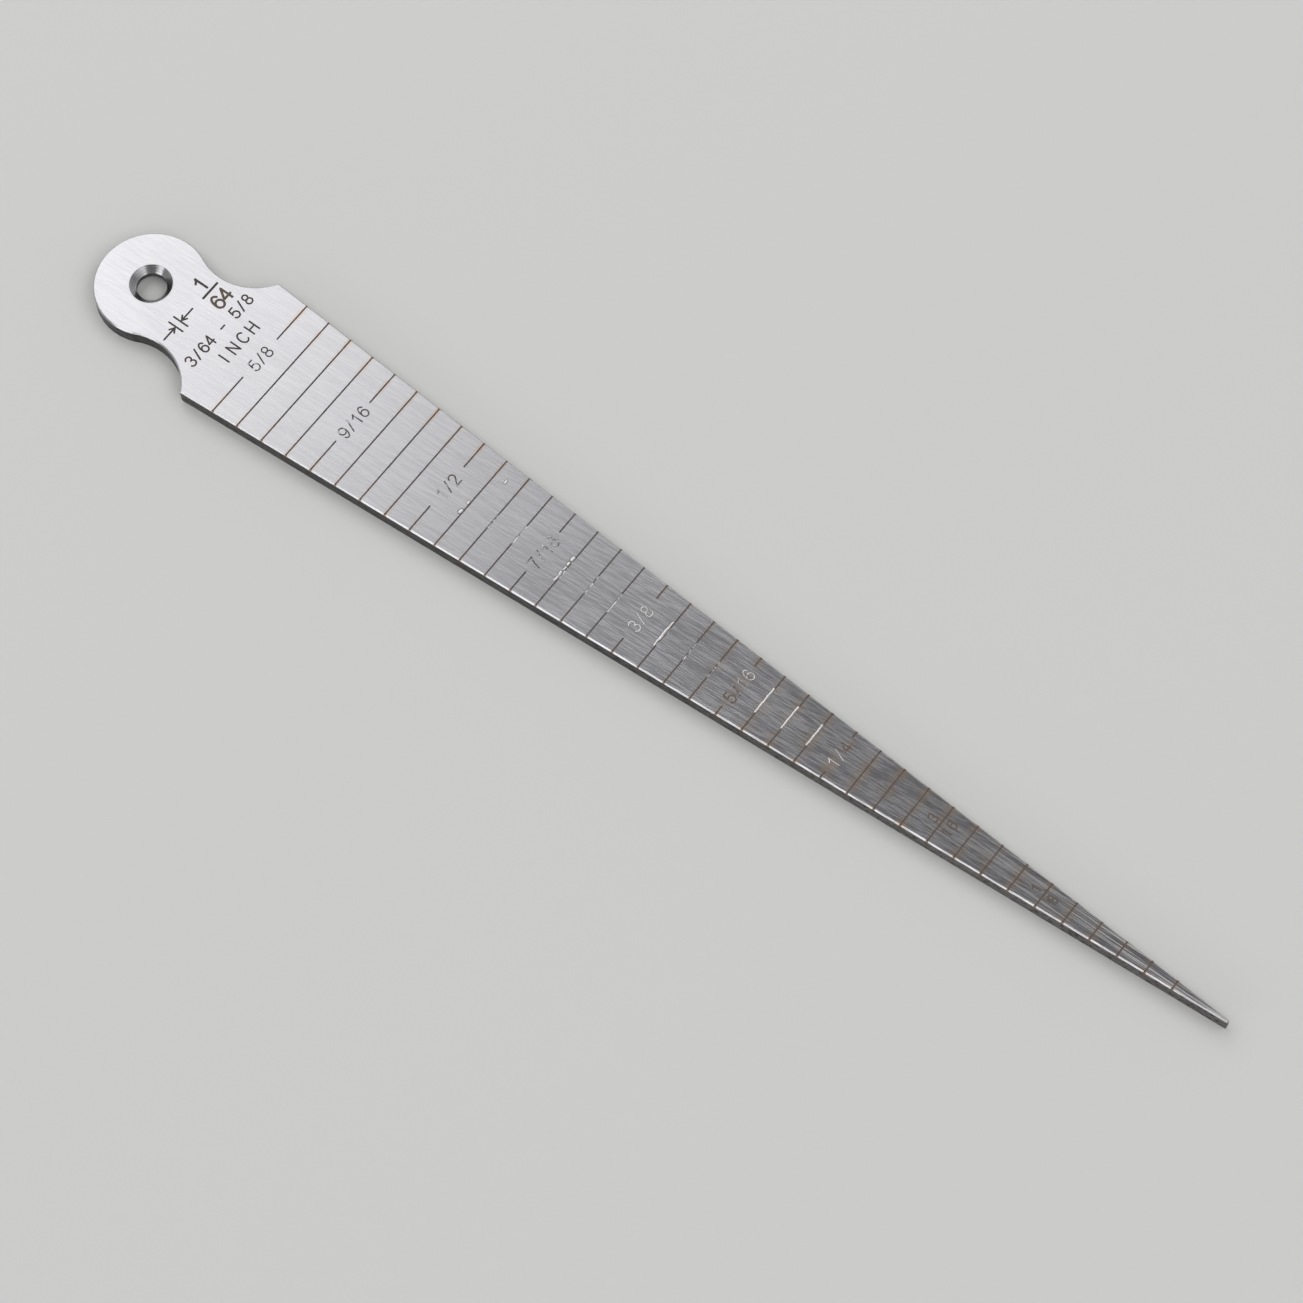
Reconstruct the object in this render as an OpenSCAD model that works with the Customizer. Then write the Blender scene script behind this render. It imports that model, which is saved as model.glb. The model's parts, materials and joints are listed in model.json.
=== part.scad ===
// Taper gauge: one flat steel plate with a round head, a waist and a long straight taper.
// The blade goes into a gap or a bore until it stops, and the graduation at the mouth gives the width,
// because the blade at each graduation is as wide as the value that the graduation stands for.
// All sizes are in millimetres. The plate lies on z = 0, with x along the blade towards its tip
// and the origin under the middle of its length.

/* [Scale] */
// Graduation steps in one inch of width
steps_per_inch = 64; // [48:4:96]
// Steps of width at the first graduation, next to the head
first_step = 40; // [32:4:48]
// Steps of width at the last graduation, next to the tip
last_step = 3; // [2:1:8]
// Distance from one graduation to the next along the blade
line_pitch = 3.175; // [2.5:0.025:5]
// Width of an engraved graduation line
line_w = 0.18; // [0.1:0.02:0.4]
// Depth of an engraved graduation line
line_depth = 0.05; // [0.02:0.01:0.12]
// Steps from one numbered graduation to the next
label_every = 4; // [2:1:8]
// Narrowest graduation that is broken to make room for its numerals, in steps
last_broken_step = 16; // [12:4:32]
// Gap in a broken graduation
label_gap = 5.6; // [3:0.1:7]
// Least length of line that is left at each side of the gap
label_stub = 0.8; // [0.3:0.1:1.2]

/* [Blade] */
// Thickness of the plate
plate_t = 2; // [1.6:0.1:4]
// Width of the blade at its cut-off tip
tip_w = 0.4; // [0.36:0.02:1.2]
// Bevel that breaks every edge of the outline
edge_bevel = 0.15; // [0.05:0.01:0.17]

/* [Head] */
// Diameter of the round head
head_d = 12.5; // [11:0.1:16]
// Distance from the centre of the head to the first graduation
head_to_scale = 15.15; // [13:0.05:22]
// Narrowest width of the waist behind the head
waist_w = 10.1; // [8:0.1:10.8]
// Radius of the two cut-outs that form the waist
waist_r = 6.5; // [5:0.1:8]

/* [Hanging hole] */
// Diameter of the hole
hole_d = 3.3; // [2:0.1:4]
// Diameter of the countersink at each face
countersink_d = 4.7; // [4.2:0.1:5]
// Included angle of the countersink
countersink_angle = 90; // [82:1:120]

/* [Hidden] */

$fn = 96;
inch = 25.4;
// How far a cutter reaches past the face that it cuts
spare = 0.5;

// Scale and taper
step_w = inch / steps_per_inch;
taper = step_w / line_pitch;
edge_angle = atan(taper / 2);

// Places along x
tip_from_scale = (first_step * step_w - tip_w) / taper;
overall_l = head_d / 2 + head_to_scale + tip_from_scale;
head_x = head_d / 2 - overall_l / 2;
scale_x = head_x + head_to_scale;
tip_x = overall_l / 2;

// Each waist cut-out runs into the head in one line, so its centre follows from the two radii.
// It bites a hair's breadth into the head, so that the two arcs cross and don't only touch.
waist_bite = 0.02;
waist_y = waist_w / 2 + waist_r;
waist_x = head_x + sqrt(pow(head_d / 2 + waist_r - waist_bite, 2) - pow(waist_y, 2));
blank_y = waist_y + spare;

// Width of the blade at a place on x, and the place of a graduation
function blade_w(x) = first_step * step_w - taper * (x - scale_x);
function step_x(step) = scale_x + (first_step - step) * line_pitch;
function is_broken(step) = step % label_every == 0 && step >= last_broken_step;

countersink_depth = (countersink_d - hole_d) / 2 / tan(countersink_angle / 2);
steel = [0.78, 0.79, 0.81];

// Draws its children as they are and mirrored to the other long edge
module both_edges() {
    children();
    mirror([0, 1, 0]) children();
}

// Draws its children at the underside and mirrored to the upper face
module both_faces() {
    children();
    translate([0, 0, plate_t]) mirror([0, 0, 1]) children();
}

// Section of a cutter that works a straight edge: it leaves a wall at 0, with the metal on its left,
// and breaks the edge at both faces. On its other side it reaches so far from the wall.
module edge_section(reach) {
    polygon([
        [-edge_bevel - spare, -spare],
        [reach, -spare],
        [reach, plate_t + spare],
        [-edge_bevel - spare, plate_t + spare],
        [0, plate_t - edge_bevel],
        [0, edge_bevel]
    ]);
}

// Round head with broken edges
module head() {
    r = head_d / 2;
    translate([head_x, 0, 0])
        rotate_extrude()
            polygon([
                [0, 0],
                [r - edge_bevel, 0],
                [r, edge_bevel],
                [r, plate_t - edge_bevel],
                [r - edge_bevel, plate_t],
                [0, plate_t]
            ]);
}

// Blank of the neck and the blade before its edges are worked: from the middle of the head to past the tip,
// and out past the centres of the waist cut-outs
module blank() {
    corner_x = head_x + (waist_x - head_x) * blank_y / waist_y;
    linear_extrude(plate_t)
        polygon([
            [head_x, 0],
            [corner_x, blank_y],
            [tip_x + spare, blank_y],
            [tip_x + spare, -blank_y],
            [corner_x, -blank_y]
        ]);
}

// Cutter for one side of the waist, flared at both faces so that it breaks the edges that it leaves
module waist_cutter() {
    flare_r = waist_r + edge_bevel + spare;
    translate([waist_x, waist_y, 0])
        rotate_extrude()
            polygon([
                [0, -spare],
                [flare_r, -spare],
                [waist_r, edge_bevel],
                [waist_r, plate_t - edge_bevel],
                [flare_r, plate_t + spare],
                [0, plate_t + spare]
            ]);
}

// Cutter for one long edge of the blade, from past the tip to inside the waist cut-out
module side_cutter() {
    past = 2 * spare;
    translate([tip_x + past, blade_w(tip_x + past) / 2, 0])
        rotate([0, 0, -edge_angle])
            rotate([90, 0, -90])
                linear_extrude((tip_x + past - waist_x) / cos(edge_angle))
                    mirror([1, 0]) edge_section(blank_y + spare);
}

// Cutter for the short edge across the tip
module tip_cutter() {
    past = blank_y + spare;
    translate([tip_x, past, 0])
        rotate([90, 0, 0])
            linear_extrude(2 * past) edge_section(2 * spare);
}

// Everything that is cut from the outline of the neck and the blade
module outline_cuts() {
    both_edges() {
        waist_cutter();
        side_cutter();
    }
    tip_cutter();
}

// Hole to hang the gauge by, countersunk at both faces
module hanging_hole() {
    flare = spare * tan(countersink_angle / 2);
    translate([head_x, 0, 0]) {
        translate([0, 0, -spare]) cylinder(d = hole_d, h = plate_t + 2 * spare);
        both_faces()
            translate([0, 0, -spare])
                cylinder(
                    h = countersink_depth + spare,
                    r1 = countersink_d / 2 + flare,
                    r2 = hole_d / 2
                );
    }
}

// One straight groove across the upper face, from y0 to y1
module groove(x, y0, y1) {
    translate([x - line_w / 2, y0, plate_t - line_depth])
        cube([line_w, y1 - y0, line_depth + spare]);
}

// The graduations: full width, or broken in the middle where numerals stand
module graduations() {
    for (step = [last_step : first_step]) {
        reach = step * step_w / 2 + spare;
        gap = min(label_gap, step * step_w - 2 * label_stub);
        if (is_broken(step))
            both_edges() groove(step_x(step), gap / 2, reach);
        else
            groove(step_x(step), -reach, reach);
    }
}

// The plate with its edges worked and its hole drilled, before it is engraved
module plate() {
    difference() {
        union() {
            head();
            blank();
        }
        outline_cuts();
        hanging_hole();
    }
}

module taper_gauge() {
    color(steel)
        difference() {
            plate();
            graduations();
        }
}

taper_gauge();
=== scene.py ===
"""Looks of the taper gauge: brushed steel, a burnt-in scale, and a studio seen from the photograph's angle.

The CAD node stays as it is and takes a brushed-steel material. The marks are thin pieces of their own:
the dark lines lie in the grooves of the CAD, and the numerals and signs lie on the face as thin films.
Sizes are in millimetres, in the frame of the CAD, until a mesh is made.
"""
import json
import math
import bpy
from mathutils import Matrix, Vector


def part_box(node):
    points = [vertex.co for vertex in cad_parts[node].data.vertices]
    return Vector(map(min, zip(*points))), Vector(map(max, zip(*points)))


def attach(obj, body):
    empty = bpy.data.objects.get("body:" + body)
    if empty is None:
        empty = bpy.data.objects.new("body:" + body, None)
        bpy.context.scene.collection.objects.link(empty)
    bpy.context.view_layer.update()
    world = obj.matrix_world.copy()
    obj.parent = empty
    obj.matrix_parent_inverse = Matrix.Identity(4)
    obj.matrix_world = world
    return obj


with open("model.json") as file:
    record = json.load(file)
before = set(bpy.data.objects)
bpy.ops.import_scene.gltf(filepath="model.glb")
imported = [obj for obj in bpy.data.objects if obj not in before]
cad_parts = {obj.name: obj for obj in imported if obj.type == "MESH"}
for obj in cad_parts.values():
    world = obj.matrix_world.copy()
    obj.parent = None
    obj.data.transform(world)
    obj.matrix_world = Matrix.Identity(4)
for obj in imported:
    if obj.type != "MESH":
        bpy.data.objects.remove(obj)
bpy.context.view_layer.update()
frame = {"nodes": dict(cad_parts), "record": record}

from fractions import Fraction

import bmesh
import bpy
import numpy as np
from mathutils import Quaternion, Vector
from mathutils.geometry import delaunay_2d_cdt

MM = 0.001

# The scale, as the CAD has it
INCH = 25.4
STEPS_PER_INCH = 64
STEP_W = INCH / STEPS_PER_INCH
FIRST_STEP = 40
LAST_STEP = 3
LINE_PITCH = 3.175
LINE_W = 0.18
LINE_DEPTH = 0.05
LABEL_EVERY = 4
LAST_BROKEN_STEP = 16
LAST_LABEL_STEP = 8
LABEL_GAP = 5.6
LABEL_STUB = 0.8
EDGE_BEVEL = 0.15
TAPER = STEP_W / LINE_PITCH
HEAD_TO_SCALE = 15.15

# Places that follow from the frame
NODE = "taper_gauge"
FACE_Z = Vector(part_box(NODE)[1]).z / MM
HEAD_X = frame["record"]["mounts"][0]["pos_m"][0] / MM
SCALE_X = HEAD_X + HEAD_TO_SCALE
SCALE_LENGTH = (FIRST_STEP - LAST_STEP) * LINE_PITCH

# Heights of the marks: a line fills its groove nearly to the face, a numeral lies on the face
LINE_TOP = FACE_Z - 0.012
LINE_SAG = 0.02
LINE_BOTTOM = FACE_Z - LINE_DEPTH - 0.02
FILM_EDGE = FACE_Z + 0.004
FILM_RIDGE = 0.018
FILM_BOTTOM = FACE_Z - 0.02
# How far a line is seated in the metal beside it, its facets across, and the length of one row of them
LINE_SEAT = 0.01
LINE_ACROSS = 6
LINE_ROW = 0.3

# The photograph's camera, found from the lines, the edges and the hole
CAMERA_AT = Vector((126.44, -145.99, 414.24))
CAMERA_AIM = Vector((2.832, -2.269, 2.0))
CAMERA_ROLL = 3.532
CAMERA_LENS = 122.34
SENSOR = 36.0
CLIP_START = 0.01


def step_x(step):
    """Place on x of a graduation."""
    return SCALE_X + (FIRST_STEP - step) * LINE_PITCH


# Stroke font: numerals and the few signs that a scale needs, one unit high, as lists of centre lines.
# An arc has a point at least every so many degrees.
ARC_STEP = 15.0


def arc(cx, cy, rx, ry, start, end):
    """Points on an ellipse from one angle to another, in degrees."""
    count = max(2, math.ceil(abs(end - start) / ARC_STEP))
    angles = [math.radians(start + (end - start) * i / count) for i in range(count + 1)]
    return [(cx + rx * math.cos(a), cy + ry * math.sin(a)) for a in angles]


SIX = arc(0.33, 0.42, 0.30, 0.58, 42, 180) + arc(0.31, 0.31, 0.28, 0.31, 180, 540)
GLYPHS = {
    "1": [[(0.10, 0.74), (0.26, 0.84), (0.36, 1.0), (0.36, 0.0)]],
    "2": [arc(0.30, 0.72, 0.27, 0.28, 170, -38) + [(0.03, 0.0), (0.58, 0.0)]],
    "3": [arc(0.28, 0.755, 0.25, 0.245, 160, -80) + arc(0.28, 0.27, 0.29, 0.27, 82, -158)],
    "4": [[(0.45, 0.0), (0.45, 1.0), (0.0, 0.30), (0.60, 0.30)]],
    "5": [[(0.53, 1.0), (0.13, 1.0), (0.05, 0.49)] + arc(0.28, 0.32, 0.30, 0.32, 132, -155)],
    "6": [SIX],
    "7": [[(0.02, 1.0), (0.58, 1.0), (0.42, 0.72), (0.29, 0.38), (0.23, 0.0)]],
    "8": [arc(0.30, 0.755, 0.23, 0.245, 0, 360), arc(0.30, 0.265, 0.28, 0.265, 0, 360)],
    "9": [[(0.60 - x, 1.0 - y) for x, y in SIX]],
    "/": [[(0.10, 0.0), (0.50, 1.0)]],
    "-": [[(0.08, 0.45), (0.52, 0.45)]],
    " ": [],
    "I": [[(0.30, 0.0), (0.30, 1.0)]],
    "N": [[(0.0, 0.0), (0.0, 1.0), (0.60, 0.0), (0.60, 1.0)]],
    "C": [arc(0.33, 0.5, 0.33, 0.5, 42, 318)],
    "H": [[(0.0, 0.0), (0.0, 1.0)], [(0.60, 0.0), (0.60, 1.0)], [(0.0, 0.52), (0.60, 0.52)]],
}
GLYPH_W = 0.60


def text_strokes(text, x, y, height, pitch, pen):
    """Centre lines of a line of text about a point: it reads along +Y, with its top towards the head."""
    scale = height - pen
    first = y - pitch * (len(text) - 1) / 2
    strokes = []
    for i, sign in enumerate(text):
        for line in GLYPHS[sign]:
            strokes.append([
                (x - (v - 0.5) * scale, first + i * pitch + (u - GLYPH_W / 2) * scale)
                for u, v in line
            ])
    return strokes


# A stroke gets a round corner where it turns by more than CORNER says. Points nearer than SAME_POINT are one.
CORNER = math.cos(math.radians(35))
CAP_SIDES = 12
SAME_POINT = 1e-4
MERGE = 1e-5
TINY = 1e-12


def disc(centre, radius):
    """Triangles of a round end or corner of a stroke."""
    angles = [2 * math.pi * i / CAP_SIDES for i in range(CAP_SIDES)]
    rim = [centre + radius * Vector((math.cos(a), math.sin(a))) for a in angles]
    return [[centre, a, b] for a, b in zip(rim, rim[1:] + rim[:1])]


def stroke_outline(line, pen):
    """Polygons that cover one stroke of the pen: a mitred ribbon, and discs at its sharp corners and ends.

    Each has a side or a corner on the centre line.
    """
    points = [Vector(p) for p in line]
    points = [p for i, p in enumerate(points) if i == 0 or (p - points[i - 1]).length > SAME_POINT]
    ways = [(b - a).normalized() for a, b in zip(points, points[1:])]
    half = pen / 2
    polygons = disc(points[0], half) + disc(points[-1], half)
    sides = []
    for i, point in enumerate(points):
        before = ways[max(i - 1, 0)]
        after = ways[min(i, len(ways) - 1)]
        if before.dot(after) < CORNER:
            polygons += disc(point, half)
            sides.append([before.orthogonal() * half, after.orthogonal() * half])
        else:
            mean = (before + after).normalized()
            offset = mean.orthogonal() * half / mean.dot(before)
            sides.append([offset, offset])
    for i in range(len(ways)):
        a, b = points[i], points[i + 1]
        out_a, out_b = sides[i][1], sides[i + 1][0]
        polygons.append([a - out_a, b - out_b, b, a])
        polygons.append([a, b, b + out_b, a + out_a])
    return polygons


# Layers on the marks: how much bare metal shows, and how near a point is to the middle of its stroke
BARE = "bare"
CORE = "core"


def ridge(points, strokes):
    """How near each point is to the middle of the nearest stroke: 1 on its centre line, 0 at its edge."""
    spots = np.array([(p.x, p.y) for p in points])
    best = np.zeros(len(spots))
    for line, pen in strokes:
        for a, b in zip(np.array(line), np.array(line)[1:]):
            way = b - a
            share = np.clip((spots - a) @ way / max(way @ way, TINY), 0.0, 1.0)
            gap = np.linalg.norm(spots - a - share[:, None] * way, axis=1)
            best = np.maximum(best, 1.0 - gap / (pen / 2))
    return best


def film_mesh(name, strokes, bare):
    """Closed thin film over the union of pen strokes, a little higher along their middles.

    bare(x, y) says how worn it is at a place.
    """
    points, faces = [], []
    for polygon in (p for line, pen in strokes for p in stroke_outline(line, pen)):
        area = sum(a.cross(b) for a, b in zip(polygon, polygon[1:] + polygon[:1]))
        ordered = polygon if area > 0 else polygon[::-1]
        faces.append(list(range(len(points), len(points) + len(ordered))))
        points += ordered
    verts, _, tris, _, _, origin = delaunay_2d_cdt(points, [], faces, 0, MERGE)
    kept = [tri for tri, source in zip(tris, origin) if source]
    bm = bmesh.new()
    bare_layer = bm.verts.layers.float.new(BARE)
    core_layer = bm.verts.layers.float.new(CORE)
    above, below = [], []
    for point, core in zip(verts, ridge(verts, strokes)):
        top = FILM_EDGE + FILM_RIDGE * core
        for made, z in ((above, top), (below, FILM_BOTTOM)):
            vert = bm.verts.new((point.x * MM, point.y * MM, z * MM))
            vert[bare_layer] = bare(point.x, point.y)
            vert[core_layer] = core
            made.append(vert)
    for tri in kept:
        bm.faces.new([above[i] for i in tri])
        bm.faces.new([below[i] for i in reversed(tri)])
    directed = {(a, b) for tri in kept for a, b in zip(tri, tri[1:] + tri[:1])}
    for a, b in sorted(directed):
        if (b, a) not in directed:
            bm.faces.new([above[a], below[a], below[b], above[b]])
    bmesh.ops.delete(bm, geom=[v for v in bm.verts if not v.link_faces], context="VERTS")
    bmesh.ops.recalc_face_normals(bm, faces=bm.faces)
    mesh = bpy.data.meshes.new(name)
    bm.to_mesh(mesh)
    bm.free()
    return mesh


def add_piece(name, mesh, material):
    """Puts a mark into the scene, riding on the gauge, with the material it is given."""
    mesh.materials.append(material)
    piece = bpy.data.objects.new(name, mesh)
    bpy.context.scene.collection.objects.link(piece)
    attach(piece, "root")
    return piece


def marks(name, strokes, material, bare=lambda x, y: 0.0):
    """A piece made of pen strokes, given as pairs of a centre line and a pen width."""
    return add_piece(name, film_mesh(name, strokes, bare), material)


def strip(bm, x, y0, y1, bare):
    """One burnt strip across the face: a shallow hollow on top, closed below.

    bare(y) says how worn it is at a place across the blade.
    """
    bare_layer = bm.verts.layers.float[BARE]
    core_layer = bm.verts.layers.float[CORE]
    half_w = LINE_W / 2 + LINE_SEAT
    across = [-1 + 2 * i / LINE_ACROSS for i in range(LINE_ACROSS + 1)]
    section = [(half_w * a, LINE_TOP - LINE_SAG * (1 - a * a)) for a in across]
    section += [(half_w, LINE_BOTTOM), (-half_w, LINE_BOTTOM)]
    count = max(2, math.ceil((y1 - y0) / LINE_ROW))
    rows = []
    for i in range(count + 1):
        y = y0 + (y1 - y0) * i / count
        row = [bm.verts.new(((x + dx) * MM, y * MM, z * MM)) for dx, z in section]
        for vert in row:
            vert[bare_layer] = bare(y)
            vert[core_layer] = 1.0
        rows.append(row)
    sides = len(section)
    for near, far in zip(rows, rows[1:]):
        for i in range(sides):
            j = (i + 1) % sides
            face = bm.faces.new([near[i], near[j], far[j], far[i]])
            face.smooth = i < LINE_ACROSS
    bm.faces.new(rows[0][::-1])
    bm.faces.new(rows[-1])


# Where the oxide is worn off a line, by its step: how much, and from where to where across the blade
# Amounts above 0.6 also get a painted glint: they turn towards white
LINE_BARE = {
    31: (0.2, -1.0, 1.2),
    30: (0.45, -1.6, 0.8),
    29: (0.55, -1.4, 1.6),
    27: (0.45, -2.1, 1.2),
    26: (0.55, -1.5, 1.5),
    25: (0.55, -1.6, 1.4),
    23: (0.45, -1.6, 1.3),
    22: (0.55, -1.3, 1.3),
    21: (0.5, -1.3, 1.2),
    19: (1.1, -1.3, 2.0),
    18: (1.1, -1.2, 1.8),
    17: (1.1, -1.1, 1.7),
}
BARE_FADE = 0.3


def line_bare(step):
    """How bare a line is, as a function of the place across the blade."""
    amount, low_y, high_y = LINE_BARE.get(step, (0.0, 0.0, 0.0))
    return lambda y: amount * min(1.0, max(0.0, min(y - low_y, high_y - y) / BARE_FADE))


def scale_lines(material):
    """Burnt ground of the grooves, one strip in each, or two where the line is broken for its numerals."""
    inset = EDGE_BEVEL - LINE_DEPTH
    bm = bmesh.new()
    bm.verts.layers.float.new(BARE)
    bm.verts.layers.float.new(CORE)
    for step in range(LAST_STEP, FIRST_STEP + 1):
        x = step_x(step)
        reach = step * STEP_W / 2 - inset
        bare = line_bare(step)
        if step % LABEL_EVERY == 0 and step >= LAST_BROKEN_STEP:
            gap = min(LABEL_GAP, step * STEP_W - 2 * LABEL_STUB) / 2
            strip(bm, x, gap - LINE_SEAT, reach, bare)
            strip(bm, x, -reach, LINE_SEAT - gap, bare)
        else:
            strip(bm, x, -reach, reach, bare)
    bmesh.ops.recalc_face_normals(bm, faces=bm.faces)
    mesh = bpy.data.meshes.new("scale_lines")
    bm.to_mesh(mesh)
    bm.free()
    return add_piece("scale_lines", mesh, material)


# Bright burrs beside some lines: the line's step, how far off its middle, from where to where across,
# and the width
BURRS = [
    (31, -0.22, -1.55, -1.30, 0.52),
    (31, -0.20, -0.25, 0.00, 0.36),
    (31, 1.42, 3.95, 4.20, 0.34),
    (27, -0.20, 1.05, 1.40, 0.48),
    (27, -0.20, 0.40, 0.60, 0.40),
    (27, -0.18, -0.30, 0.05, 0.26),
    (27, -0.20, -1.00, -0.70, 0.44),
    (27, -0.20, -1.85, -1.30, 0.34),
    (23, -0.16, -1.55, -1.20, 0.24),
    (23, -0.20, -1.05, -0.75, 0.32),
    (23, -0.17, -0.60, 0.15, 0.44),
    (23, -0.21, 0.35, 0.80, 0.38),
    (23, -0.15, 0.95, 1.70, 0.24),
    (19, -0.09, -1.30, 1.90, 0.30),
    (18, -0.07, -1.15, 1.75, 0.28),
    (17, -0.07, -1.10, 1.60, 0.28),
]
BURR_ROW = 0.2
# So bare that the burrs are painted white all over, a painted glint
BURR_BARE = 2.0
# How far a burr wanders, and the two rates of its waves
BURR_WAVE = 0.03
BURR_FAST = 9.0
BURR_SLOW = 4.0


def line_burrs(material):
    """Ragged lips of metal that the engraving pushed up, bare and painted white as a glint."""
    strokes = []
    for step, off, low_y, high_y, width in BURRS:
        count = max(2, math.ceil((high_y - low_y) / BURR_ROW))
        places = [low_y + (high_y - low_y) * i / count for i in range(count + 1)]
        middle = step_x(step) + off
        waves = [math.sin(step + y * BURR_FAST) * math.cos(y * BURR_SLOW) for y in places]
        line = [(middle + BURR_WAVE * wave, y) for wave, y in zip(waves, places)]
        strokes.append((line, width))
    return marks("line_burrs", strokes, material, lambda x, y: BURR_BARE)


# Numerals of the scale: in one line across a broken graduation, or stacked on a narrow one
LABEL_H = 1.52
LABEL_PITCH = 1.04
LABEL_PEN = 0.16
LABEL_SHIFT = 0.1
STACK_H = 1.22
STACK_PITCH = 0.98
STACK_PEN = 0.17
STACK_OFF = 1.0
STACK_SHIFT = 0.1
# How worn the numerals of a step are, at the first sign and at the last
# Amounts above 0.6 also get a painted glint: they turn towards white
LABEL_BARE = {
    40: (0.35, 0.15),
    36: (0.4, 0.2),
    32: (0.7, 0.1),
    28: (0.4, 0.6),
    24: (1.0, 0.8),
    20: (0.3, 0.8),
    16: (1.6, 0.0),
}
LABEL_REACH = 1.6


def label_bare(x, y):
    """How worn the numerals are at a place on the face."""
    steps = FIRST_STEP - (x - SCALE_X) / LINE_PITCH
    first, last = LABEL_BARE.get(round(steps / LABEL_EVERY) * LABEL_EVERY, (0.0, 0.0))
    share = min(1.0, max(0.0, (y + LABEL_REACH) / (2 * LABEL_REACH)))
    return first + (last - first) * share


def scale_numerals(material):
    """The value of each numbered graduation, as a fraction of an inch."""
    strokes = []
    for step in range(LAST_LABEL_STEP, FIRST_STEP + 1, LABEL_EVERY):
        x = step_x(step)
        value = Fraction(step, STEPS_PER_INCH)
        if step >= LAST_BROKEN_STEP:
            text = f"{value.numerator}/{value.denominator}"
            lines = text_strokes(text, x + LABEL_SHIFT, 0.0, LABEL_H, LABEL_PITCH, LABEL_PEN)
            strokes += [(line, LABEL_PEN) for line in lines]
        else:
            style = (STACK_SHIFT, STACK_H, STACK_PITCH, STACK_PEN)
            over = text_strokes(str(value.numerator), x - STACK_OFF, *style)
            under = text_strokes(str(value.denominator), x + STACK_OFF, *style)
            strokes += [(line, STACK_PEN) for line in over + under]
    return marks("scale_numerals", strokes, material, label_bare)


# Signs on the neck, by their distance from the first line: the value of one step, and the sign for a gap
STEP_MARK_Y = 3.12
STEP_MARK_H = 1.95
STEP_MARK_PITCH = 1.2
STEP_MARK_PEN = 0.28
STEP_OVER_X = -10.85
STEP_BAR_X = -9.5
STEP_UNDER_X = -7.95
STEP_BAR_HALF = 1.15
GAP_X = -9.62
GAP_Y = -2.04
GAP_HALF = 0.4
GAP_BAR_HALF = 0.95
GAP_TIP = 0.18
GAP_SHAFT = 1.95
GAP_BARB_ALONG = 0.5
GAP_BARB_ACROSS = 0.34
GAP_PEN = 0.21


def resolution_mark(material):
    """The value of one step as a stacked fraction."""
    bar_x = SCALE_X + STEP_BAR_X
    style = (STEP_MARK_Y, STEP_MARK_H, STEP_MARK_PITCH, STEP_MARK_PEN)
    over = text_strokes("1", SCALE_X + STEP_OVER_X, *style)
    under = text_strokes(str(STEPS_PER_INCH), SCALE_X + STEP_UNDER_X, *style)
    bar = [(bar_x, STEP_MARK_Y - STEP_BAR_HALF), (bar_x, STEP_MARK_Y + STEP_BAR_HALF)]
    return marks("resolution_mark", [(line, STEP_MARK_PEN) for line in over + under + [bar]], material)


def gap_mark(material):
    """The usual sign for a gap: two bars, and an arrow that points at each from outside."""
    x = SCALE_X + GAP_X
    lines = []
    for side in (-1, 1):
        bar_y = GAP_Y + side * GAP_HALF
        tip_y = bar_y + side * GAP_TIP
        barb_y = tip_y + side * GAP_BARB_ALONG
        lines.append([(x - GAP_BAR_HALF, bar_y), (x + GAP_BAR_HALF, bar_y)])
        lines.append([(x, tip_y), (x, bar_y + side * GAP_SHAFT)])
        lines.append([(x - GAP_BARB_ACROSS, barb_y), (x, tip_y), (x + GAP_BARB_ACROSS, barb_y)])
    return marks("gap_mark", [(line, GAP_PEN) for line in lines], material)


# The measuring range, where the real gauge carries lettering of its own
RANGE_H = 1.5
RANGE_PITCH = 1.04
RANGE_PEN = 0.2
RANGE_X = -5.65
UNIT_X = -3.05
UNIT_H = 1.6
UNIT_PITCH = 1.55


def range_mark(material):
    """The least and the greatest width that the gauge reads, and the unit."""
    ends = [Fraction(step, STEPS_PER_INCH) for step in (LAST_STEP, FIRST_STEP)]
    text = " - ".join(f"{end.numerator}/{end.denominator}" for end in ends)
    lines = text_strokes(text, SCALE_X + RANGE_X, 0.0, RANGE_H, RANGE_PITCH, RANGE_PEN)
    lines += text_strokes("INCH", SCALE_X + UNIT_X, 0.0, UNIT_H, UNIT_PITCH, RANGE_PEN)
    return marks("range_mark", [(line, RANGE_PEN) for line in lines], material)


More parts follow.
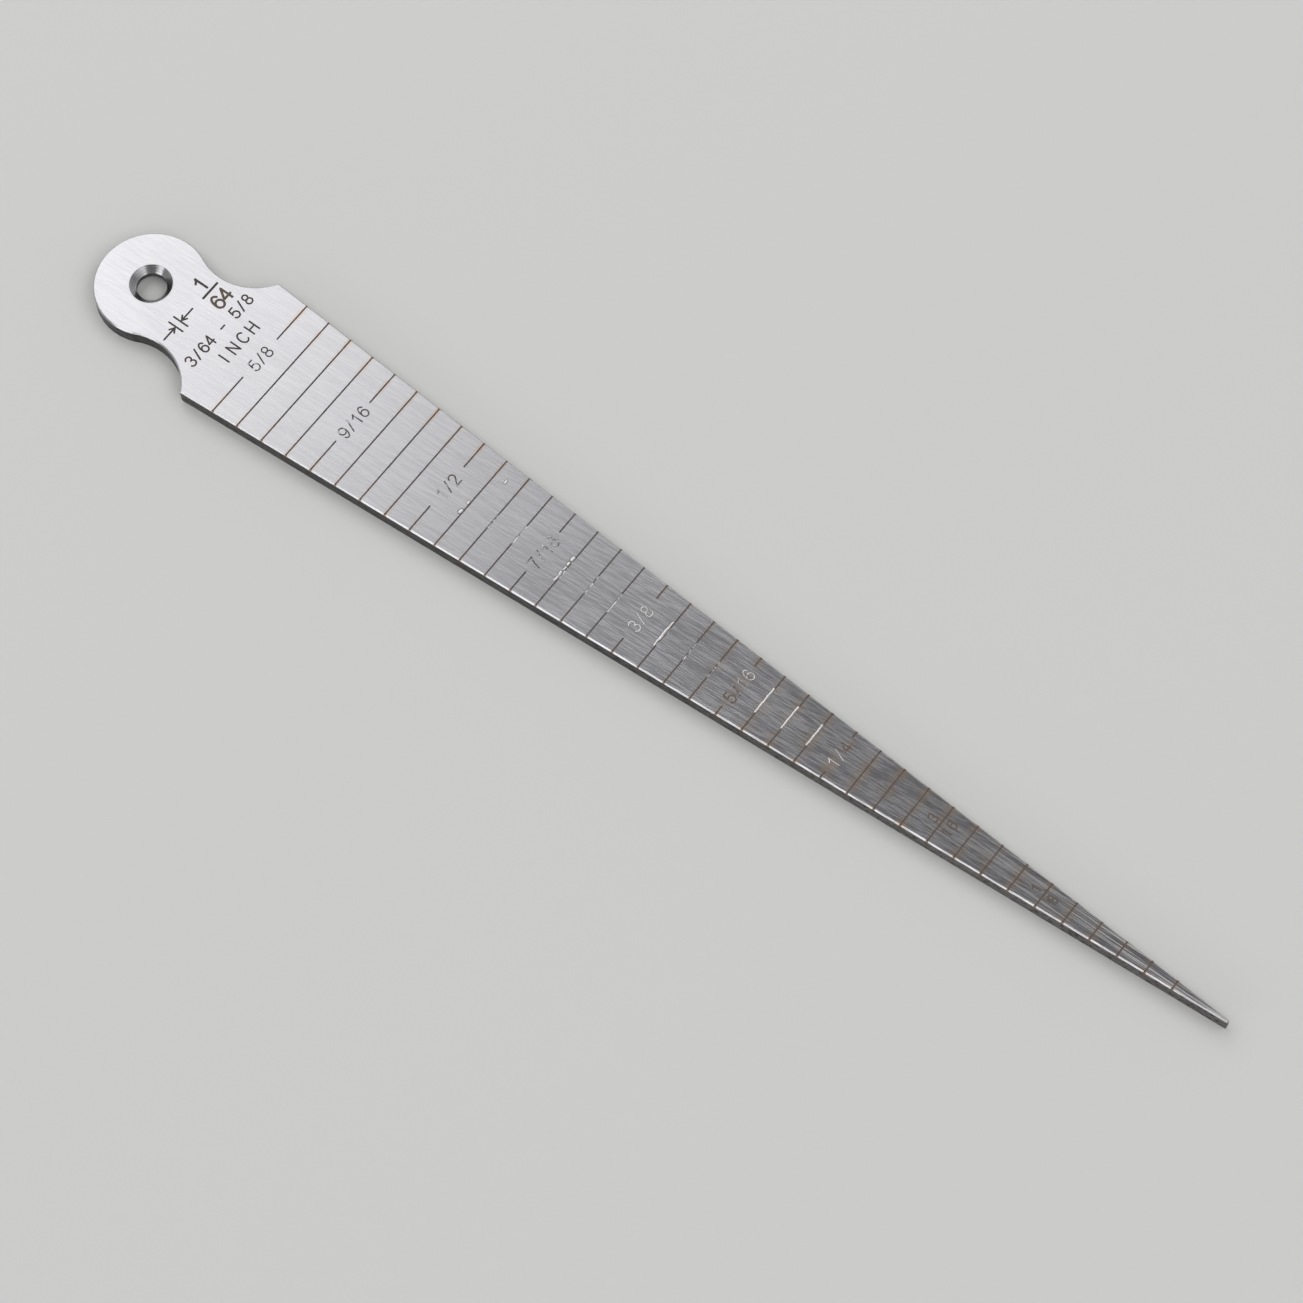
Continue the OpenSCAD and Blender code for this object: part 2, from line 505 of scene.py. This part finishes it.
class Graph:
    """Shorthand for the nodes of one material: each call makes a node and gives back its output."""

    def __init__(self, name):
        self.material = bpy.data.materials.new(name)
        self.material.use_nodes = True
        self.tree = self.material.node_tree
        self.tree.nodes.clear()

    def node(self, kind, inputs, output=0, **options):
        """Any node: an input is another node's output or a value."""
        made = self.tree.nodes.new(kind)
        for key, value in options.items():
            setattr(made, key, value)
        for key, value in inputs.items():
            if isinstance(value, bpy.types.NodeSocket):
                self.tree.links.new(value, made.inputs[key])
            else:
                made.inputs[key].default_value = value
        return made.outputs[output] if made.outputs else None

    def math(self, operation, a, b=0.0, c=0.0):
        """One step of arithmetic."""
        return self.node("ShaderNodeMath", {0: a, 1: b, 2: c}, operation=operation)

    def times(self, first, *others):
        """Product of all the values."""
        for other in others:
            first = self.math("MULTIPLY", first, other)
        return first

    def smooth(self, value, start, end, low=0.0, high=1.0):
        """Goes smoothly from low at start to high at end."""
        inputs = {"Value": value, "From Min": start, "From Max": end, "To Min": low, "To Max": high}
        return self.node("ShaderNodeMapRange", inputs, interpolation_type="SMOOTHSTEP")

    def mix(self, factor, a, b):
        """Goes from colour a to colour b."""
        inputs = {0: factor, 6: a, 7: b}
        return self.node("ShaderNodeMix", inputs, output=2, data_type="RGBA")

    def place(self):
        """Place on the part in millimetres, as a vector and as its three parts."""
        spot = self.node("ShaderNodeTexCoord", {}, output=3)
        vector = self.node("ShaderNodeVectorMath", {0: spot, "Scale": 1 / MM}, operation="SCALE")
        split = self.tree.nodes.new("ShaderNodeSeparateXYZ")
        self.tree.links.new(vector, split.inputs[0])
        return vector, split.outputs

    def noise(self, vector, size, detail, roughness):
        """Cloudy pattern from 0 to 1. The size is its grain in millimetres along x, y and z."""
        scaled = self.node("ShaderNodeMapping", {"Vector": vector, "Scale": [1 / s for s in size]})
        inputs = {"Vector": scaled, "Scale": 1.0, "Detail": detail, "Roughness": roughness}
        return self.node("ShaderNodeTexNoise", inputs)

    def bump(self, height, depth, strength):
        """Turns a height from 0 to 1 into a normal. The depth is in millimetres."""
        inputs = {"Height": height, "Distance": depth * MM, "Strength": strength}
        return self.node("ShaderNodeBump", inputs)

    def finish(self, **inputs):
        """Ends the graph in a principled shader, with its sockets named by words joined with underscores."""
        named = {key.replace("_", " "): value for key, value in inputs.items()}
        shader = self.node("ShaderNodeBsdfPrincipled", named)
        self.node("ShaderNodeOutputMaterial", {"Surface": shader})
        return self.material


def rgb(red, green, blue):
    """An opaque colour."""
    return (red, green, blue, 1.0)


# Colours of the steel
STEEL_DARK = rgb(0.50, 0.495, 0.52)
STEEL_PALE = rgb(0.71, 0.705, 0.73)
STEEL_MEAN = rgb(0.615, 0.61, 0.632)
# Tones along the outer half of the blade: a duller finish with painted shade in it
HAZE_AND_SHADE_DARK = rgb(0.305, 0.296, 0.308)
HAZE_AND_SHADE_PALE = rgb(0.565, 0.548, 0.560)
# The walls are darker than the face, partly as cut edges and partly as painted shade; the third tone is
# painted on towards the tip as a painted reflection of light
WALL_DARK = rgb(0.070, 0.068, 0.068)
WALL_PALE = rgb(0.150, 0.147, 0.144)
WALL_PAINTED_LIGHT = rgb(0.27, 0.263, 0.255)
WALL_PIT = rgb(0.012, 0.010, 0.009)
HEAT_TINT = rgb(0.60, 0.46, 0.35)
SCUFF_TINT = rgb(0.74, 0.73, 0.73)
BURN_TINT = rgb(0.15, 0.10, 0.07)

# Patterns of the steel: the grain in millimetres along x, y and z, how many finer layers, and their share
FINE_SCRATCH = ((6.0, 0.13, 0.13), 1.0, 0.5)
SHORT_SCRATCH = ((2.4, 0.12, 0.12), 1.0, 0.5)
SHORT_SCRATCH_TURN = math.radians(-8.0)
BROAD_BAND = ((22.0, 0.8, 0.8), 2.0, 0.5)
SCRATCH_SHARE = 0.88
BROAD_SHARE = 0.12
CLOUD = ((9.0, 5.0, 5.0), 2.0, 0.5)
PATCH = ((2.6, 1.4, 1.4), 2.0, 0.6)
LONG_SCUFF = ((14.0, 0.13, 0.13), 1.0, 0.5)
WALL_GRAIN = ((1.6, 1.6, 0.22), 2.0, 0.6)
WALL_PITS = ((0.5, 0.5, 0.45), 1.0, 0.5)
TOOL_RINGS = ((0.09, 0.09, 1.0), 1.0, 0.5)

# Ramps of the steel: where each starts and ends, and its values there where they aren't 0 and 1.
# One that ends in _ALONG goes by the distance from the first line, in millimetres.
BLOTCH = (0.35, 0.6)
# Where, and in which patches, the face turns darker along the blade, partly as painted shade
HAZE_AND_SHADE_ALONG = (44.0, 76.0)
HAZE_AND_SHADE_PATCHES = (0.3, 0.7, 0.45, 0.85)
STREAKS = (0.42, 0.58)
STREAKS_ALONG = (30.0, 62.0, 0.3, 1.0)
SCALE_START_ALONG = (-1.0, -0.5)
SCALE_END_ALONG = (SCALE_LENGTH + 1.0, SCALE_LENGTH + 0.5)
UPPER_HALF = (1.0, 1.5)
FAR_RIM = (0.3, 0.95)
NEAR_RIM = (-0.5, -1.0, 0.0, 0.6)
HALO = (0.5, 0.05)
HALO_HEAD_ALONG = (38.0, 24.0)
HALO_TIP_ALONG = (47.0, 56.0, 0.0, 0.8)
HALO_STRENGTH = 0.7
SMEAR = (1.0, 0.1, 0.0, 0.55)
SMEAR_ALONG = (52.0, 74.0)
SCUFF = (0.52, 0.68)
SCUFF_ALONG = (80.0, 116.0)
TIP_RUB_ALONG = (SCALE_LENGTH - 4.0, SCALE_LENGTH + 5.0, 0.0, 0.22)
BEVEL_FACING = (0.95, 0.8)
WALL_FACING = (0.55, 0.3)
NOTCH = (0.2, 0.1, 0.0, 0.9)
WALL_STREAKS = (0.35, 0.65)
# Where the walls are painted paler towards the tip, a painted reflection of light
WALL_PAINTED_LIGHT_ALONG = (40.0, 95.0)
PITS = (0.54, 0.63, 0.0, 0.62)
PITS_ALONG = (0.0, 80.0, 0.6, 1.0)
STAIN = (0.45, 0.05)
STAIN_HEIGHT = (0.4, 1.8, 0.0, 0.6)
TOOLED_RADIUS = (2.5, 2.4)
RING_TINT = (0.35, 0.65, 0.1, 0.6)
POLISH = (0.3, 0.7, 0.235, 0.265)
POLISH_CLOUDS = (0.3, 0.7, -0.015, 0.015)
SCRATCH_DEPTH_ALONG = (30.0, 62.0, 0.2, 0.85)
TIP_DEPTH_ALONG = (84.0, 114.0, 0.0, 1.2)

# What the walls, the scuffs and the hole add to the roughness, and the relief of the scratches
WALL_ROUGHNESS = 0.2
SCUFF_ROUGHNESS = 0.16
TOOLED_ROUGHNESS = -0.07
SCRATCH_DEPTH = 0.0022
SCRATCH_STRENGTH = 0.6


def blade_place(g):
    """Where a point is: as a vector, along the blade from the first line, across it, and up, in millimetres.

    The last value is the place across as a share of the blade's half width there.
    """
    spot, (x, y, z) = g.place()
    along = g.math("SUBTRACT", x, SCALE_X)
    half = g.math("MULTIPLY_ADD", along, -TAPER / 2, FIRST_STEP * STEP_W / 2)
    return spot, along, y, z, g.math("DIVIDE", y, half)


def steel_grain(g, spot):
    """The fine scratches, and the whole grain with its broad bands."""
    turned = g.node("ShaderNodeMapping", {"Vector": spot, "Rotation": (0.0, 0.0, SHORT_SCRATCH_TURN)})
    fine = g.noise(spot, *FINE_SCRATCH)
    short = g.noise(turned, *SHORT_SCRATCH)
    broad = g.noise(spot, *BROAD_BAND)
    scratch = g.math("ADD", g.math("MULTIPLY", fine, 0.5), g.math("MULTIPLY", short, 0.5))
    grain = g.math("ADD", g.math("MULTIPLY", scratch, SCRATCH_SHARE), g.math("MULTIPLY", broad, BROAD_SHARE))
    return scratch, grain


def steel_face(g, along, grain, patch):
    """Colour of the clean face, which turns darker in patches along the outer half of the blade: partly a
    duller finish, partly painted shade that deepens the fading reflection there.
    """
    haze_and_shade = g.times(g.smooth(along, *HAZE_AND_SHADE_ALONG), g.smooth(patch, *HAZE_AND_SHADE_PATCHES))
    dark = g.mix(haze_and_shade, STEEL_DARK, HAZE_AND_SHADE_DARK)
    pale = g.mix(haze_and_shade, STEEL_PALE, HAZE_AND_SHADE_PALE)
    streaks = g.mix(g.smooth(grain, *STREAKS), dark, pale)
    return g.mix(g.smooth(along, *STREAKS_ALONG), STEEL_MEAN, streaks)


def line_heat(g, along, edge, off_line, blotch):
    """How much the heat of the engraving tinted the face beside the lines."""
    rim = g.math("MAXIMUM", g.smooth(edge, *FAR_RIM), g.smooth(edge, *NEAR_RIM))
    zone = g.math("MAXIMUM", g.smooth(along, *HALO_HEAD_ALONG), g.smooth(along, *HALO_TIP_ALONG))
    halo = g.times(g.smooth(off_line, *HALO), rim, blotch, zone, HALO_STRENGTH)
    smear = g.times(g.smooth(off_line, *SMEAR), blotch, g.smooth(along, *SMEAR_ALONG))
    return g.math("MAXIMUM", halo, smear)


def cut_edge(g, spot, along, stain):
    """Colour of the walls: darker than the face, partly as a cut edge and partly as painted shade, painted
    paler towards the tip as a painted reflection, pitted, and stained where a line runs out.
    """
    # How far the walls are painted paler towards the tip: a painted reflection of light
    worn = g.smooth(along, *WALL_PAINTED_LIGHT_ALONG)
    dark = g.mix(worn, WALL_DARK, WALL_PALE)
    pale = g.mix(worn, WALL_PALE, WALL_PAINTED_LIGHT)
    side = g.mix(g.smooth(g.noise(spot, *WALL_GRAIN), *WALL_STREAKS), dark, pale)
    pits = g.times(g.smooth(g.noise(spot, *WALL_PITS), *PITS), g.smooth(along, *PITS_ALONG))
    return g.mix(stain, g.mix(pits, side, WALL_PIT), BURN_TINT)


def hole_rings(g, spot, z):
    """Where the countersunk hole is, and the tool rings in it."""
    from_hole = g.node("ShaderNodeVectorMath", {0: spot, 1: (HEAD_X, 0.0, 0.0)}, operation="SUBTRACT")
    flat = g.node("ShaderNodeVectorMath", {0: from_hole, 1: (1.0, 1.0, 0.0)}, operation="MULTIPLY")
    radius = g.node("ShaderNodeVectorMath", {0: flat}, output=1, operation="LENGTH")
    around = g.node("ShaderNodeCombineXYZ", {"X": radius, "Y": z})
    return g.smooth(radius, *TOOLED_RADIUS), g.noise(around, *TOOL_RINGS)


def brushed_steel():
    """Ground sheet steel: a grain along the blade, a face darker along its outer half (a duller finish with
    painted shade), walls darker as cut edges with painted shade and paler towards the tip as a painted
    reflection, wear, and the heat of the engraving.
    """
    g = Graph("brushed_steel")
    spot, along, _, z, edge = blade_place(g)
    scratch, grain = steel_grain(g, spot)
    patch = g.noise(spot, *PATCH)
    blotch = g.smooth(patch, *BLOTCH)
    normal = g.node("ShaderNodeNewGeometry", {}, output=1)
    upright = g.math("ABSOLUTE", g.node("ShaderNodeSeparateXYZ", {0: normal}, output=2))
    wall = g.smooth(upright, *WALL_FACING)

    # How far the nearest line is, and where the lines burnt the plate
    off_line = g.math("PINGPONG", along, LINE_PITCH / 2)
    on_scale = g.times(g.smooth(along, *SCALE_START_ALONG), g.smooth(along, *SCALE_END_ALONG))
    upper = g.times(on_scale, g.smooth(z, *UPPER_HALF))

    # The face is tinted beside the lines, scuffed towards the tip, and burnt where a line runs over the bevel
    face = steel_face(g, along, grain, patch)
    face = g.mix(g.times(line_heat(g, along, edge, off_line, blotch), upper), face, HEAT_TINT)
    rubbed = g.math("ADD", g.noise(spot, *LONG_SCUFF), g.smooth(along, *TIP_RUB_ALONG))
    scuff = g.times(g.smooth(rubbed, *SCUFF), g.smooth(along, *SCUFF_ALONG))
    face = g.mix(scuff, face, SCUFF_TINT)
    notch = g.times(g.smooth(upright, *BEVEL_FACING), g.smooth(off_line, *NOTCH), upper)
    face = g.mix(notch, face, BURN_TINT)

    stain = g.times(g.smooth(off_line, *STAIN), g.smooth(z, *STAIN_HEIGHT), blotch, on_scale)
    tooled, rings = hole_rings(g, spot, z)
    # The walls take their own colour: darker as cut edges, with painted shade, and a painted reflection
    # towards the tip
    colour = g.mix(wall, face, cut_edge(g, spot, along, stain))
    colour = g.mix(g.times(tooled, g.smooth(rings, *RING_TINT)), colour, WALL_PALE)

    roughness = g.math("ADD", g.smooth(grain, *POLISH), g.smooth(g.noise(spot, *CLOUD), *POLISH_CLOUDS))
    for where, change in ((wall, WALL_ROUGHNESS), (scuff, SCUFF_ROUGHNESS), (tooled, TOOLED_ROUGHNESS)):
        roughness = g.math("MULTIPLY_ADD", where, change, roughness)
    depth = g.math("ADD", g.smooth(along, *SCRATCH_DEPTH_ALONG), g.smooth(along, *TIP_DEPTH_ALONG))
    height = g.math("ADD", g.times(scratch, depth), g.times(rings, tooled))
    relief = g.bump(height, SCRATCH_DEPTH, SCRATCH_STRENGTH)
    return g.finish(Base_Color=colour, Metallic=1.0, Roughness=roughness, Normal=relief)


# Colours of the marks
MARK_DARK = rgb(0.062, 0.050, 0.046)
MARK_GREY = rgb(0.125, 0.108, 0.098)
MARK_BROWN = rgb(0.150, 0.103, 0.077)
# Bare metal of the marks, and the white painted on it as a glint where it is worn most
MARK_FADED = rgb(0.66, 0.65, 0.66)
MARK_BARE_GLINT = rgb(0.86, 0.85, 0.85)

# Patterns and ramps of the marks, as those of the steel
MARK_PATCH = ((3.0, 0.9, 0.9), 3.0, 0.6)
MARK_SPECK = ((0.2, 0.2, 0.2), 2.0, 0.6)
MARK_FLAKE = ((0.45, 0.45, 0.45), 2.0, 0.6)
GREY_ALONG = (-8.0, 30.0)
BROWN_RIM = (0.45, 0.9)
BROWN_HEAD_ALONG = (38.0, 24.0)
BROWN_TIP_ALONG = (47.0, 56.0)
BROWN_ALONG = (48.0, 66.0, 0.0, 0.8)
BROWN_PATCHES = (0.3, 0.6, 0.3, 1.0)
NECK_START_ALONG = (-9.4, -8.8)
NECK_END_ALONG = (-6.6, -7.2)
NECK_ACROSS = (1.0, 2.2, 0.0, 0.7)
FLAKE_MEAN = 0.5
FLAKE_SWING = 1.6
FLAKED = (0.35, 0.65)
TOUCHED = (0.02, 0.12)
BARE_CORE = (0.2, 0.5)
# Where the most worn marks are painted white as a glint, and how their metal gives way to that matt white
PAINTED_GLINT = (0.6, 1.0)
PAINTED_GLINT_METAL = (0.0, 1.0, 1.0, 0.5)
MARK_ROUGHNESS = (0.3, 0.7, 0.5, 0.7)
BARE_ROUGHNESS = -0.35
SPECK_DEPTH = 0.03
SPECK_STRENGTH = 0.7


def oxide_brown(g, along, y, edge, patch):
    """How brown the oxide is: near the rim, along the outer half of the blade, and on part of the neck."""
    zone = g.math("MAXIMUM", g.smooth(along, *BROWN_HEAD_ALONG), g.smooth(along, *BROWN_TIP_ALONG))
    brown = g.times(g.smooth(g.math("ABSOLUTE", edge), *BROWN_RIM), zone)
    brown = g.math("MAXIMUM", brown, g.smooth(along, *BROWN_ALONG))
    brown = g.times(brown, g.smooth(patch, *BROWN_PATCHES))
    on_neck = g.times(g.smooth(along, *NECK_START_ALONG), g.smooth(along, *NECK_END_ALONG))
    return g.math("MAXIMUM", brown, g.times(on_neck, g.smooth(y, *NECK_ACROSS)))


def burnt_mark():
    """Oxide that the engraving left: dark at the head, browner along the blade, and worn bare in places,
    which are painted white as a glint where they are worn most.
    """
    g = Graph("burnt_mark")
    spot, along, y, _, edge = blade_place(g)
    speck = g.noise(spot, *MARK_SPECK)
    ground = g.mix(g.smooth(along, *GREY_ALONG), MARK_DARK, MARK_GREY)
    oxide = g.mix(oxide_brown(g, along, y, edge, g.noise(spot, *MARK_PATCH)), ground, MARK_BROWN)

    # Bare metal shows in flakes and along the middle of a stroke; where it is worn most it is painted a matt
    # white, a painted glint
    worn = g.node("ShaderNodeAttribute", {}, output=2, attribute_name=BARE)
    core = g.node("ShaderNodeAttribute", {}, output=2, attribute_name=CORE)
    flake = g.math("SUBTRACT", g.noise(spot, *MARK_FLAKE), FLAKE_MEAN)
    ragged = g.math("ADD", worn, g.math("MULTIPLY", flake, FLAKE_SWING))
    bare = g.times(g.smooth(ragged, *FLAKED), g.smooth(worn, *TOUCHED), g.smooth(core, *BARE_CORE))
    # A painted glint: where a mark is worn most it turns a matt white
    painted_glint = g.smooth(worn, *PAINTED_GLINT)
    colour = g.mix(bare, oxide, g.mix(painted_glint, MARK_FADED, MARK_BARE_GLINT))
    metal = g.times(bare, g.smooth(painted_glint, *PAINTED_GLINT_METAL))
    roughness = g.math("MULTIPLY_ADD", bare, BARE_ROUGHNESS, g.smooth(speck, *MARK_ROUGHNESS))
    relief = g.bump(speck, SPECK_DEPTH, SPECK_STRENGTH)
    return g.finish(Base_Color=colour, Metallic=metal, Roughness=roughness, Normal=relief)


FLOOR_HALF = 6.0
FLOOR_COLOUR = rgb(0.80, 0.80, 0.79)
FLOOR_ROUGHNESS = 0.9


def floor():
    """Plain pale floor under the gauge."""
    mesh = bpy.data.meshes.new("floor")
    corners = [(-1, -1), (1, -1), (1, 1), (-1, 1)]
    mesh.from_pydata([(a * FLOOR_HALF, b * FLOOR_HALF, 0.0) for a, b in corners], [], [(0, 1, 2, 3)])
    g = Graph("floor")
    mesh.materials.append(g.finish(Base_Color=FLOOR_COLOUR, Roughness=FLOOR_ROUGHNESS))
    obj = bpy.data.objects.new("floor", mesh)
    bpy.context.scene.collection.objects.link(obj)


# Light: pale walls, a greyer ceiling, and soft boxes behind the head, beyond the tip and low in front.
# The walls end and the ceiling begins between two heights, as the sine of the angle above the horizon.
WALL_LIGHT = 0.6
CEILING_LIGHT = 0.27
WALL_END = 0.1
CEILING_START = 0.55
SOFTBOXES = {
    "back_softbox": {
        "at": (-1.32, 0.354, 1.0),
        "aim": (-1.32, 0.354, 0.0),
        "size": (1.8, 2.0),
        "level": 1.4,
    },
    "side_softbox": {
        "at": (1.25, 0.10, 1.2),
        "aim": (1.25, 0.10, 0.0),
        "size": (1.9, 2.2),
        "level": 1.1,
    },
    "front_softbox": {
        "at": (-0.17, -0.95, 0.34),
        "aim": (-0.17, 0.0, 0.0),
        "size": (0.55, 0.22),
        "level": 1.7,
    },
}


def surroundings():
    """World light by height above the horizon."""
    world = bpy.data.worlds.new("studio")
    bpy.context.scene.world = world
    world.use_nodes = True
    nodes, links = world.node_tree.nodes, world.node_tree.links
    nodes.clear()
    spot = nodes.new("ShaderNodeTexCoord")
    split = nodes.new("ShaderNodeSeparateXYZ")
    level = nodes.new("ShaderNodeMapRange")
    light = nodes.new("ShaderNodeBackground")
    out = nodes.new("ShaderNodeOutputWorld")
    level.interpolation_type = "SMOOTHSTEP"
    level.inputs["From Min"].default_value = WALL_END
    level.inputs["From Max"].default_value = CEILING_START
    level.inputs["To Min"].default_value = WALL_LIGHT
    level.inputs["To Max"].default_value = CEILING_LIGHT
    links.new(spot.outputs["Generated"], split.inputs[0])
    links.new(split.outputs["Z"], level.inputs["Value"])
    links.new(level.outputs[0], light.inputs["Strength"])
    links.new(light.outputs[0], out.inputs["Surface"])


def softbox(name, at, size, aim, level):
    """Flat soft lamp. Its level is how bright its face looks."""
    lamp = bpy.data.lights.new(name, "AREA")
    lamp.shape = "RECTANGLE"
    lamp.size, lamp.size_y = size
    lamp.energy = level * math.pi * lamp.size * lamp.size_y
    obj = bpy.data.objects.new(name, lamp)
    obj.location = at
    obj.rotation_euler = (Vector(aim) - Vector(at)).to_track_quat("-Z", "Y").to_euler()
    bpy.context.scene.collection.objects.link(obj)


def camera():
    """The photograph's camera."""
    data = bpy.data.cameras.new("camera")
    data.sensor_width = SENSOR
    data.lens = CAMERA_LENS
    data.clip_start = CLIP_START
    obj = bpy.data.objects.new("camera", data)
    ahead = (CAMERA_AIM - CAMERA_AT).normalized()
    level = ahead.to_track_quat("-Z", "Y")
    obj.rotation_mode = "QUATERNION"
    obj.rotation_quaternion = Quaternion(ahead, math.radians(CAMERA_ROLL)) @ level
    obj.location = CAMERA_AT * MM
    bpy.context.scene.collection.objects.link(obj)
    bpy.context.scene.camera = obj


camera()
surroundings()
for name, sizes in SOFTBOXES.items():
    softbox(name, **sizes)
floor()
frame["nodes"][NODE].material_slots[0].material = brushed_steel()
mark = burnt_mark()
scale_lines(mark)
line_burrs(mark)
scale_numerals(mark)
resolution_mark(mark)
gap_mark(mark)
range_mark(mark)
bpy.context.scene.view_settings.view_transform = "Standard"
